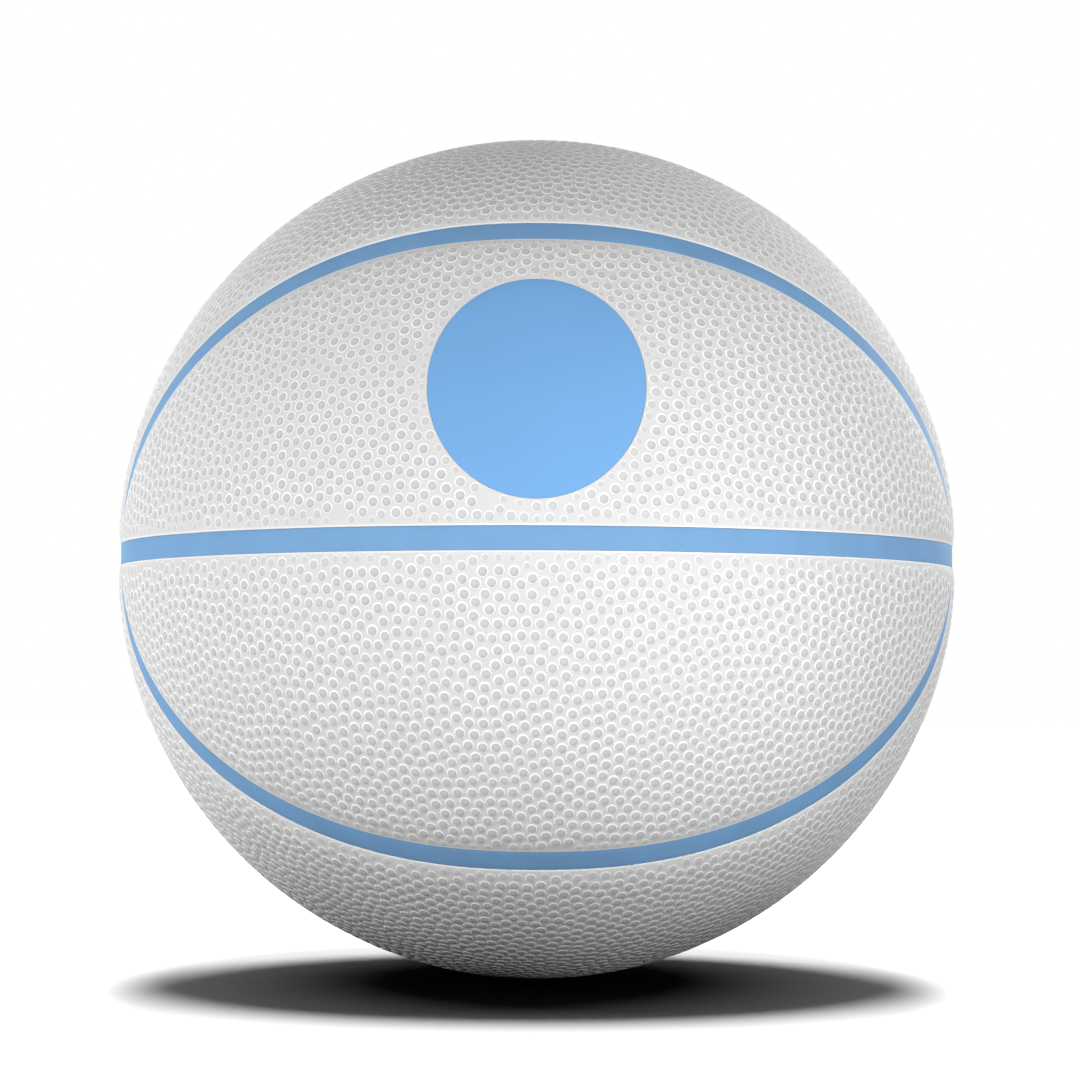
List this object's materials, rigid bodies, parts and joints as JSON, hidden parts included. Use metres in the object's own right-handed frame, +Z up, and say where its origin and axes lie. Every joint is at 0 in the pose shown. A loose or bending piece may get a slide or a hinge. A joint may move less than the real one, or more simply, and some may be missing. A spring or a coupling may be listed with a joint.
{
  "type": "basketball",
  "caption": "Inflated rubber basketball with pebbled white cover panels, flat blue seam ribs, a smooth badge and a needle valve, over a wound carcass and a bladder.",
  "frame": {"origin": "centre of the ball", "axes": "+Z up, square to the plane of the level rib; -Y towards the side with the badge; +X to the right as seen from that side"},
  "size_m": [0.2404, 0.241, 0.241],
  "materials": {
    "cover": "pebbled, satin",
    "rib": "smooth, satin",
    "badge": "smooth, satin",
    "carcass": "matt",
    "winding": "matt yarn",
    "bladder": "satin",
    "valve": "satin",
    "valve_core": "satin"
  },
  "bodies": {
    "ball": {"lens_panel_front_upper": "cover", "lens_panel_front_lower": "cover", "lens_panel_rear_upper": "cover", "lens_panel_rear_lower": "cover", "crescent_panel_front_upper": "cover", "crescent_panel_front_lower": "cover", "crescent_panel_rear_upper": "cover", "crescent_panel_rear_lower": "cover", "level_rib": "rib", "upright_rib_upper": "rib", "upright_rib_lower": "rib", "oval_rib_front_upper": "rib", "oval_rib_front_lower": "rib", "oval_rib_rear_upper": "rib", "oval_rib_rear_lower": "rib", "badge": "badge", "carcass": "carcass", "winding_layer": "winding", "bladder": "bladder", "valve_seat": "valve"},
    "valve_core": {"valve_core": "valve_core"}
  },
  "joints": [
    {"name": "valve_core_pull", "type": "slide", "parent": "ball", "child": "valve_core", "axis": [0, 0.9205, 0.3907], "range_m": [0, 0.019]}
  ]
}
